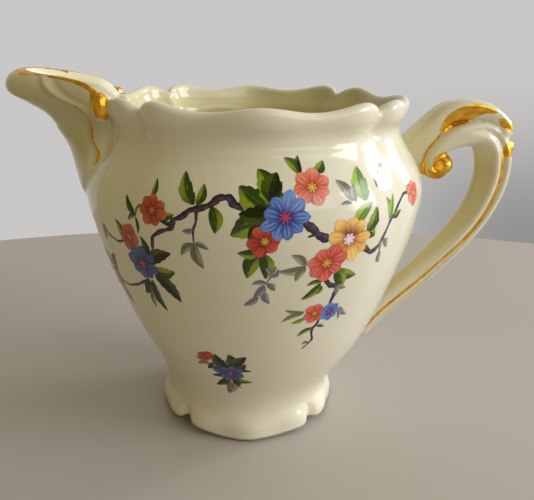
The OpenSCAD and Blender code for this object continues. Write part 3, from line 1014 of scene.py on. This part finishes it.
def leaf(spray, base, tip, wide, kind, lift, bend, teeth=0):
    """A leaf from base to tip, with wide as its width over its length, bent to one side."""
    light, dark, vein = LEAVES[kind]
    right, up = between(base, tip)
    length = math.hypot(right, up)
    along = np.array([right, up]) / length
    t = np.linspace(0, 1, 25)[:, None]
    s = np.linspace(-1, 1, 11)[None, :]
    half = wide * length / 2 * np.sin(math.pi * t**0.85) ** 0.8
    if teeth:
        half = half * (1 + 0.22 * ((t * teeth) % 1) * smooth(0, 0.2, t) - 0.1)
    side = s * np.maximum(half, HAIR) + bend * length * np.sin(math.pi * t)
    x, y = along[0] * length * t + along[1] * side, along[1] * length * t - along[0] * side
    patch = 0.5 + 0.5 * np.sin(s * 3.1 + t * 7 + base[0]) * np.sin(t * 11 + base[1])
    colour = wash(light, dark, smooth(-0.35, 0.35, s + 0.5 * (patch - 0.5)) + 0 * t)
    colour = wash(colour, dark, 0.85 * smooth(0.5, 0, t) + 0.5 * smooth(0.75, 1, t) + 0 * s)
    shine = 0.6 * patch * bell(s + 0.35, 0.45) * bell(t - 0.6, 0.25)
    colour = wash(colour, light * [1.25, 1.15, 0.8], shine)
    ribs = bell((t * 6 - np.abs(s) * 1.4) % 1 - 0.5, 0.12) * smooth(1, 0.5, np.abs(s)) * 0.35
    colour = wash(colour, vein, np.maximum(bell(s, 0.10) * smooth(1, 0.7, t), ribs))
    spray.stroke(base, x, y, colour, lift)


# %% Twigs
BARK = (ink(58, 42, 60), ink(112, 98, 126), ink(30, 20, 36))
FINE_BARK = (ink(104, 98, 100), ink(140, 136, 140), ink(84, 78, 82))


def twig(spray, start, end, bark, *places):
    """A gnarled ribbon from one width to another, through places."""
    path = np.array([between(places[0], place) for place in places])
    step = np.r_[0, np.cumsum(np.linalg.norm(np.diff(path, axis=0), axis=1))]
    walk = np.linspace(0, step[-1], max(12, int(step[-1] / 0.25)))
    x, y = (np.interp(walk, step, path[:, c]) for c in (0, 1))
    ease = np.array([1, 2, 3, 2, 1]) / 9
    x, y = (np.r_[v[:2], np.convolve(v, ease, "valid"), v[-2:]] for v in (x, y))
    tangent = np.stack([np.gradient(x), np.gradient(y)], -1)
    tangent /= np.linalg.norm(tangent, axis=1, keepdims=True)
    knots = 1 + 0.16 * np.sin(walk * 1.5 + places[0][0]) + 0.07 * np.sin(walk * 4.1)
    half = np.interp(walk, [0, step[-1]], [start, end]) / 2 * knots
    half = np.maximum(HAIR, half * smooth(-0.2, 0.5, walk) * smooth(step[-1] + 0.1, step[-1] - 0.5, walk))
    s = np.linspace(-1, 1, 7)[None, :]
    right = x[:, None] - tangent[:, 1:] * s * half[:, None]
    up = y[:, None] + tangent[:, :1] * s * half[:, None]
    base, light, dark = bark
    colour = wash(base, light, 0.6 * bell(s - 0.35, 0.35) * (0.6 + 0.4 * np.sin(walk[:, None] * 3.1)))
    colour = wash(colour, dark, 0.9 * smooth(-0.4, -1, s) + 0 * half[:, None])
    spray.stroke(places[0], right, up, colour, TWIG_LIFT)


# %% Flowers
# Each kind: petal base, middle, tip, edge and streak, how far the streak shows, the eye's two colours
FLOWERS = {
    "blue": ((14, 32, 108), (34, 92, 184), (104, 152, 220), (16, 40, 120),
             (196, 210, 242), 0.6, (176, 70, 116), (70, 20, 70)),
    "indigo": ((20, 26, 74), (46, 64, 138), (92, 104, 170), (26, 32, 80),
               (138, 146, 200), 0.6, (196, 72, 96), (70, 20, 50)),
    "coral": ((178, 52, 24), (228, 100, 66), (242, 160, 140), (184, 56, 40),
              (250, 198, 180), 0.6, (224, 186, 70), (150, 60, 20)),
    "red": ((120, 16, 14), (200, 50, 34), (222, 92, 70), (122, 18, 20),
            (232, 124, 84), 0.5, (216, 176, 54), (110, 20, 14)),
    "rust": ((126, 30, 18), (190, 72, 42), (212, 112, 82), (120, 34, 22),
             (222, 142, 108), 0.5, (214, 120, 90), (120, 28, 16)),
    "yellow": ((168, 78, 34), (246, 184, 64), (252, 212, 116), (172, 92, 36),
               (254, 234, 168), 0.65, (246, 224, 232), (190, 150, 172)),
    "rose": ((176, 34, 26), (220, 72, 52), (236, 132, 116), (160, 34, 30),
             (246, 166, 140), 0.55, (220, 176, 60), (130, 30, 20)),
}
RAY_RED = ink(112, 36, 56)  # the streaks at the heart of a yellow petal


def petal(spray, place, turn, reach, wide, colours, lift, rays):
    base, middle, tip, edge, streak, show = colours
    t = np.linspace(0, 1, 15)[:, None]
    s = np.linspace(-1, 1, 13)[None, :]
    half = np.maximum(HAIR, wide / 2 * np.maximum(0, np.sin(math.pi * (0.04 + 0.96 * t) ** 1.6)) ** 0.7)
    out = reach * t * (1 - 0.06 * bell(s, 0.25) * smooth(0.7, 1, t))
    x = out * math.sin(turn) + s * half * math.cos(turn)
    y = out * math.cos(turn) - s * half * math.sin(turn)
    colour = wash(wash(base, middle, smooth(0.15, 0.5, t)), tip, smooth(0.55, 1, t))
    streaks = show * (0.5 + 0.5 * np.cos(s * 10 + turn * 3)) * bell(t - 0.62, 0.3)
    colour = wash(colour, streak, streaks)
    colour = wash(colour, base, 0.55 * smooth(0.15, 0.95, s * math.cos(turn - 0.9)) * smooth(1.0, 0.3, t))
    rim = 0.85 * smooth(0.72, 1, np.abs(s)) * smooth(1.05, 0.6, t) + 0.35 * smooth(0.92, 1, t)
    colour = wash(colour, edge, rim)
    if rays:
        colour = wash(colour, RAY_RED, rays * smooth(0.78, 0.3, t) * smooth(0.9, 0.5, np.abs(s)))
    spray.stroke(place, x, y, colour, lift)


def disc(spray, place, radius, inner, outer, lift, right=0.0, up=0.0):
    r = np.linspace(0.02, 1, 6)[:, None] * radius
    turn = np.linspace(0, 2 * math.pi, 21)[None, :]
    colour = wash(inner, outer, smooth(0.45, 0.95, r / radius) + 0 * turn)
    spray.stroke(place, right + r * np.sin(turn), up + r * np.cos(turn), colour, lift)


def flower(spray, place, radius, petals, turn, kind, lift):
    *paints, show, eye, ring = FLOWERS[kind]
    base, middle, tip, edge, streak = (ink(*paint) for paint in paints)
    eye, ring = ink(*eye), ink(*ring)
    luck = np.random.default_rng(int(place[0] * 10 + place[1] * 7) % 9973)
    for k in range(petals):
        way = math.radians(turn + 360 * k / petals + luck.uniform(-7, 7))
        reach = radius * luck.uniform(0.86, 1.12)
        shade = luck.uniform(0, 0.5)
        body, end = wash(middle, base, shade), wash(tip, middle, shade * 1.6)
        colours = (base, body, end, edge, streak, show * luck.uniform(0.5, 1))
        wide = 2 * radius * math.sin(math.pi / petals) * luck.uniform(0.76, 0.94)
        rays = 0.85 * smooth(0.2, 0.8, math.cos(way)) if kind == "yellow" else 0
        petal(spray, place, way, reach, wide, colours, lift + 0.0008 * ((k * 2) % 5 + k / petals), rays)
    disc(spray, place, radius * 0.21, eye, ring, lift + 0.006)
    for k in range(7):
        way = 2 * math.pi * k / 7 + turn
        off = radius * 0.2 * math.sin(way), radius * 0.2 * math.cos(way)
        disc(spray, place, radius * 0.05, eye * 1.1, eye * 0.8, lift + 0.007, *off)


def painted(name, twigs, leaves, flowers):
    """A whole spray: its twigs, then its leaves, then its flowers."""
    spray = Spray(name)
    for row in twigs:
        twig(spray, *row)
    for k, (angle, height, tip_angle, tip_height, wide, kind, *teeth) in enumerate(leaves):
        lift, bend = LEAF_LIFT + 0.002 * (k % 7), 0.10 if k % 2 else -0.10
        leaf(spray, (angle, height), (tip_angle, tip_height), wide, kind, lift, bend, *teeth)
    for k, (angle, height, *row) in enumerate(flowers):
        flower(spray, (angle, height), *row, lift=FLOWER_LIFT + 0.010 * (k % 4))
    return spray.finish()


# %% The spray across the front
# Each twig is its width at the start and the end, its bark and its places
FRONT_TWIGS = [
    (1.7, 0.8, BARK, (-4, 70.5), (-8, 71.6), (-9, 72.8), (-12, 72.7), (-14, 71.3), (-17, 70.4), (-20, 69.9),
     (-22, 68.3), (-25, 67.3), (-25, 65.4), (-29, 64.2), (-32, 62.5), (-33, 59)),
    (1, 0.6, BARK, (-24, 66.9), (-27, 66.4), (-30, 67.6)),
    (0.7, 0.4, FINE_BARK, (-35, 68.6), (-36.5, 69.6), (-38, 68.6), (-38.6, 66.4)),
    (0.7, 0.4, BARK, (-18, 70), (-18, 67.5), (-19, 65.5), (-19, 62.4)),
    (0.7, 0.3, BARK, (-46, 59.6), (-50, 58.6), (-54, 59.4), (-57, 62.2), (-60, 62.6)),
    (0.8, 0.5, BARK, (-39.4, 50.4), (-46, 47.8), (-52, 46.4), (-60, 46.4)),
    (1.8, 1.9, BARK, (11, 67.8), (14, 66), (15.5, 64.6), (19, 63.2)),
    (1, 0.5, BARK, (15.2, 65), (12.2, 64.4)),
    (1.5, 0.5, BARK, (30, 60.8), (33, 59.3), (35, 58.2), (37, 58.4), (39, 59.4), (41, 62), (42.5, 64.4),
     (44.5, 66), (47, 68.3), (50, 70.4), (54, 70.4)),
    (0.7, 0.5, FINE_BARK, (37, 73), (37, 74.6), (38, 78)),
    (0.5, 0.4, FINE_BARK, (37, 74), (40, 75.8), (44, 77.6)),
    (0.4, 0.2, FINE_BARK, (40, 61), (40.4, 58.6), (39.4, 54.6)),
    (1.5, 0.9, BARK, (18.4, 55.4), (20, 53), (22, 51.4), (25, 51), (24.4, 48.4), (23.6, 46)),
    (0.9, 0.4, BARK, (21, 42.4), (20.6, 40.4), (19, 39), (19.4, 37.2), (20.4, 35.6), (18.6, 34),
     (16.6, 32.6)),
    (0.5, 0.3, FINE_BARK, (4, 57.8), (3, 55.6), (1, 53)),
]
# Each leaf is the places of its base and its tip, its width over its length, its kind and any teeth
FRONT_LEAVES = [
    (3, 70.4, -6.8, 74.8, 0.62, "green", 5), (3.5, 71, -1.5, 77.6, 0.62, "green", 4),
    (2, 72, 4.4, 77.2, 0.7, "dark", 3), (3, 68, -8.6, 65, 0.6, "green", 5),
    (2, 70, -6.4, 69.6, 0.66, "dark", 4), (0, 67, -4, 64.4, 0.6, "dark", 3),
    (-0.5, 61.4, -6.8, 61, 0.5, "green"), (-0.5, 61, -4.4, 54.8, 0.52, "green"),
    (0, 61, 1.2, 54.6, 0.5, "green"), (11.5, 77.2, 6.6, 80.6, 0.46, "green"),
    (11.6, 77.4, 11.2, 81, 0.36, "dark"), (16, 77.2, 19.4, 79.6, 0.62, "green"),
    (26.6, 65.4, 33.6, 70.4, 0.4, "bright"), (31.6, 63.8, 35.4, 69.2, 0.52, "green", 3),
    (31.8, 63.6, 35.4, 62.4, 0.9, "green"), (23.4, 55.4, 31.2, 53, 0.46, "green"),
    (22.8, 55.4, 26.4, 49.8, 0.52, "green"), (12.8, 57.4, 8.2, 60.4, 0.4, "grey"),
    (12.8, 57.2, 4.6, 56.4, 0.34, "grey"), (12.8, 57, 10, 53.6, 0.46, "grey"),
    (18.5, 52.4, 12.6, 48.4, 0.34, "green"), (18.8, 52.8, 13.8, 52.2, 0.36, "green"),
    (19, 51.6, 17.6, 49.4, 0.5, "green"), (24.6, 51.2, 28.4, 50, 0.42, "grey"),
    (24.2, 51, 25, 48.2, 0.5, "grey"), (26.4, 71.2, 22, 75.4, 0.42, "grey"),
    (27.4, 71, 27.6, 74.4, 0.46, "grey"), (26, 70.8, 22.2, 70.8, 0.3, "mauve"),
    (31, 70.8, 31.2, 77.2, 0.62, "bright", 3), (38, 74.2, 41, 73.2, 0.6, "mauve"),
    (42, 77, 47, 76.6, 0.34, "mauve"), (42.6, 65, 40.8, 70.6, 0.34, "bright"),
    (43.2, 65.4, 44.8, 70.8, 0.3, "bright"), (44, 65.6, 48.4, 66.6, 0.5, "green"),
    (40.8, 60.6, 44, 57.8, 0.5, "grey"), (40.4, 57.6, 41.6, 54.2, 0.5, "mauve"),
    (38.8, 60.4, 40.2, 57, 0.3, "grey"), (2.6, 55, 4.8, 57, 0.6, "mauve"),
    (1.6, 53.4, 4, 51.4, 0.6, "mauve"), (1.4, 53.6, -3, 53.2, 0.4, "mauve"),
    (0.8, 53, -2.4, 49.8, 0.5, "mauve"), (2.8, 55.6, 1, 57.4, 0.5, "mauve"),
    (14.8, 44.6, 7.8, 45.8, 0.26, "grey"), (14.4, 44.2, 7, 42.2, 0.26, "grey"),
    (15.2, 42.8, 10.6, 41.6, 0.42, "bright"), (19.6, 39.4, 13.6, 37.2, 0.3, "green"),
    (20.6, 39.8, 24, 39, 0.44, "green"), (19, 34.8, 16.4, 34.4, 0.6, "grey"),
    (27.6, 44, 29.4, 40.4, 0.26, "mauve"), (28.4, 44.4, 33, 41.2, 0.3, "mauve"),
    (-18.8, 71, -23.4, 76.8, 0.44, "green", 3), (-18, 71, -16.6, 75, 0.46, "green"),
    (-13.6, 71, -12.8, 65, 0.5, "green"), (-30, 68, -24.6, 68.6, 0.42, "green"),
    (-30, 67.6, -26, 65.8, 0.4, "dark"), (-32.4, 71.4, -32.2, 75.2, 0.34, "green"),
    (-38.6, 67, -43.6, 70.8, 0.34, "dark"), (-38.6, 67, -42.4, 65.2, 0.36, "green"),
    (-38.4, 66.6, -38.2, 62.6, 0.28, "dark"), (-19, 62.6, -23.4, 59.4, 0.4, "grey"),
    (-19, 62.6, -14.8, 61.4, 0.4, "grey"), (-19, 62.6, -16.8, 56.6, 0.4, "grey"),
    (-19, 65.8, -22.2, 65.2, 0.5, "mauve"), (-36, 57, -37.4, 62.2, 0.4, "dark"),
    (-36, 55.6, -27, 59.4, 0.44, "dark", 4), (-35, 54, -26.6, 54.6, 0.52, "green", 4),
    (-35, 52.8, -26.6, 46.4, 0.4, "dark", 5), (-37, 51, -34, 42.6, 0.28, "dark", 4),
    (-38.6, 51, -42.4, 46.2, 0.5, "dark", 3), (-38, 47.6, -39.6, 42.6, 0.34, "grey"),
    (-60, 48.6, -56, 54.4, 0.42, "dark", 3), (-63, 49, -66.6, 54, 0.44, "green", 3),
    (-61, 44.4, -57, 39.4, 0.44, "green"), (-64, 44.6, -70, 42.2, 0.4, "dark"),
    (-64.6, 47, -72, 48.6, 0.34, "grey"), (-60, 62.6, -65, 65.6, 0.4, "dark"),
    (-57, 62, -58.4, 57.6, 0.4, "grey"), (-46, 58.6, -48.8, 64.6, 0.4, "green"),
    (-1, 50, -5.6, 47.4, 0.4, "mauve"), (0.6, 51.4, 2.6, 47.8, 0.44, "mauve"),
]
# Each flower is its place, radius, number of petals, turn and kind
FRONT_FLOWERS = [
    (0.6, 63.8, 3.8, 6, 20, "red"), (14.2, 74.6, 4.3, 7, 10, "coral"), (6, 68.9, 5.3, 9, 8, "blue"),
    (19.2, 57.6, 4.7, 7, 25, "rose"), (25.4, 62.8, 5.9, 9, 4, "yellow"), (56.4, 69.6, 3.2, 6, 0, "coral"),
    (18.6, 43.8, 2.8, 6, 12, "rose"), (24.4, 43.6, 2.9, 8, 0, "blue"), (-31.8, 68.9, 3.7, 7, 5, "rust"),
    (-43.2, 61, 3.7, 6, 30, "rust"), (-39.4, 54.8, 4.8, 8, 10, "indigo"), (-61.5, 46.5, 2.8, 5, 0, "rust"),
]
front_spray = painted("front_spray", FRONT_TWIGS, FRONT_LEAVES, FRONT_FLOWERS)

# %% The small spray near the foot
low_spray = painted("low_spray", [
    (1, 0.6, BARK, (-14.6, 26.2), (-18, 28.2), (-22, 30)),
], [
    (-14, 25.5, -18.4, 31.2, 0.5, "dark", 3), (-12, 26, -12.4, 31.6, 0.56, "dark", 3),
    (-12, 26, -5.6, 31, 0.5, "dark", 4), (-11, 25.4, -6, 28.4, 0.44, "dark"),
    (-11, 25, -3.2, 25.6, 0.3, "dark"), (-14.6, 22.6, -22.8, 22.6, 0.34, "dark"),
    (-14.6, 22.4, -21.4, 18.8, 0.46, "dark", 3), (-11.6, 22.4, -2.4, 21, 0.4, "green"),
    (-12, 22, -9, 19, 0.6, "dark"), (-14, 22, -16, 19.2, 0.6, "dark"),
    (-13, 20.6, -14.4, 15.6, 0.56, "grey"), (-13, 20, -7, 18.6, 0.24, "grey"),
    (-20.6, 27.6, -23.8, 25.2, 0.5, "dark"), (-22, 27.4, -28.4, 26.2, 0.4, "grey"),
    (-23, 28.6, -28.6, 28.8, 0.3, "mauve"),
], [
    (-18.6, 25.4, 1.7, 4, 0, "indigo"), (-24, 29.6, 1.9, 4, 20, "rust"), (-21.6, 30.4, 1.5, 4, 60, "red"),
    (-13.2, 24.2, 3.5, 8, 12, "indigo"),
])

# %% The spray on the back
back_spray = painted("back_spray", [
    (1.6, 0.6, BARK, (196, 55), (192, 58.4), (187, 60.8), (183, 64.4), (177, 66), (171, 67.4), (166, 66),
     (160, 66.6)),
    (0.9, 0.4, BARK, (184, 63.6), (186, 67), (190, 69.6)),
    (0.8, 0.4, BARK, (176, 65.8), (173, 61.8), (174, 58.8)),
], [
    (184, 62, 176, 57.4, 0.5, "green", 4), (186, 61, 188, 53.4, 0.46, "green"),
    (178, 66, 176, 73, 0.5, "green", 4), (172, 67, 168, 73, 0.44, "dark"),
    (190, 69, 196, 72.4, 0.44, "bright"), (190, 69, 190, 74.4, 0.4, "green"),
    (162, 66.4, 155, 70, 0.4, "grey"), (162, 66, 155, 63.4, 0.4, "grey"),
    (174, 59, 170, 54.4, 0.42, "grey"), (174, 59, 178, 54, 0.42, "mauve"),
    (195, 56, 203, 57.4, 0.4, "green"), (195, 56, 199, 50.4, 0.44, "dark", 3),
    (194, 56, 190, 50, 0.4, "grey"), (167, 66, 166, 60.4, 0.44, "green"),
], [
    (188, 61, 4.4, 6, 15, "rose"), (180, 65.2, 5, 9, 0, "blue"), (170.4, 67, 3.6, 6, 20, "coral"),
    (195.6, 55.4, 3.2, 5, 8, "yellow"),
])

# %% Enamel
enamel = Finish("enamel", IOR=1.52, Specular_IOR_Level=0.5)
enamel.set(Base_Color=enamel.stored("enamel", "Color"), Roughness=0.09 + 0.10 * enamel.noise(1.2, 2))
enamel.bump(enamel.noise(14, 2) + 0.12 * enamel.noise(1.6, 2), 0.10)
enamel.cover(front_spray, low_spray, back_spray)

# %% [markdown]
# ## The table and the light
# A pale table with a soft sheen, and a room that is dim and warm on the left and bright on the right. A
# tall window and two narrow panes stand on the right, and weak light comes from behind the reader and
# from above.

# %% The table
def table_top(radius=0.42, middle=(0.0, -0.24)):
    shape = bmesh.new()
    bmesh.ops.create_circle(shape, cap_ends=True, segments=160, radius=radius)
    mesh = bpy.data.meshes.new("table")
    shape.to_mesh(mesh)
    shape.free()
    table = bpy.data.objects.new("table", mesh)
    table.location = (*middle, 0)
    bpy.context.collection.objects.link(table)
    return table


table = table_top()
TABLE_DARK, TABLE_LIGHT = (0.46, 0.42, 0.385), (0.50, 0.455, 0.42)
lacquer = Finish("pale_lacquer", Roughness=0.45, IOR=1.4)
lacquer.set(Base_Color=lacquer.mix(lacquer.noise(60, 3), TABLE_DARK, TABLE_LIGHT))
lacquer.cover(table)

# %% The room and its windows
def room(dim, bright, back):
    """A room whose light grows from the dim left to the bright right, with a pale wall behind."""
    world = bpy.data.worlds.new("room")
    bpy.context.scene.world = world
    world.use_nodes = True
    air = Nodes(world.node_tree)
    way = air.node("ShaderNodeTexCoord", {}, {}, "Generated")
    across, depth, rise = (air.node("ShaderNodeSeparateXYZ", {}, {0: way}, axis) for axis in "XYZ")
    side = air.mix(across.between(0.25, 1.0), dim, bright)
    # A painted shadow darkens the wall to half, low on the right.
    shade = across.between(0.1, 0.45) * (1 - rise.between(-0.28, -0.02))
    wall = air.mix(shade, back, tuple(0.5 * c for c in back))
    colour = air.mix(depth.between(0.15, 0.7), side, wall)
    air.tree.links.new(colour.socket, air.tree.nodes["Background"].inputs["Color"])


def window(name, place, aim_height, size, power, colour):
    light = bpy.data.lights.new(name, "AREA")
    light.shape = "RECTANGLE"
    light.size, light.size_y = size
    light.energy = power
    light.color = colour
    lamp = bpy.data.objects.new(name, light)
    lamp.location = place
    lamp.rotation_euler = (Vector((0, 0, aim_height)) - Vector(place)).to_track_quat("-Z", "Y").to_euler()
    bpy.context.collection.objects.link(lamp)
    print(name, power, "W")


bpy.context.scene.view_settings.view_transform = "Standard"
room(dim=(0.27, 0.222, 0.09), bright=(0.80, 0.83, 0.90), back=(0.585, 0.575, 0.565))
DAYLIGHT, PANE, LAMP = (0.98, 1.0, 1.06), (1.0, 0.99, 0.98), (1.0, 0.98, 0.95)
window("window_right", (1.32, -0.36, 0.50), 0.05, (0.72, 0.80), 10.8, DAYLIGHT)
window("pane_near", (1.20, 0.42, 0.50), 0.06, (0.09, 0.42), 3, PANE)
window("pane_far", (1.10, 0.60, 0.50), 0.06, (0.09, 0.42), 3, PANE)
window("room_behind", (0.75, -1.15, 0.75), 0.03, (0.9, 0.8), 3.2, DAYLIGHT)
window("ceiling", (0.5, -0.2, 1.4), 0.05, (0.7, 0.7), 1.2, LAMP)


# %% The camera
LENS = 36 * 600 / 534  # mm, for a sensor 36 mm wide
CAMERA_OUT, CAMERA_UP = 0.1643, 0.1022  # from the middle of the foot
BEARING, SWING, TILT, ROLL = (math.radians(turn) for turn in (1.2, 1.95, 18.6, 0.65))


def set_camera():
    data = bpy.data.cameras.new("camera")
    data.lens = LENS
    data.clip_start = 0.01
    camera = bpy.data.objects.new("camera", data)
    bpy.context.collection.objects.link(camera)
    stand = Vector((-CAMERA_OUT * math.sin(BEARING), -CAMERA_OUT * math.cos(BEARING), CAMERA_UP))
    look = Matrix.Rotation(-SWING - BEARING, 4, "Z") @ Matrix.Rotation(math.pi / 2 - TILT, 4, "X")
    camera.matrix_world = Matrix.Translation(stand) @ look @ Matrix.Rotation(ROLL, 4, "Z")
    bpy.context.scene.camera = camera
    print("camera stands at", stand, "m")


set_camera()
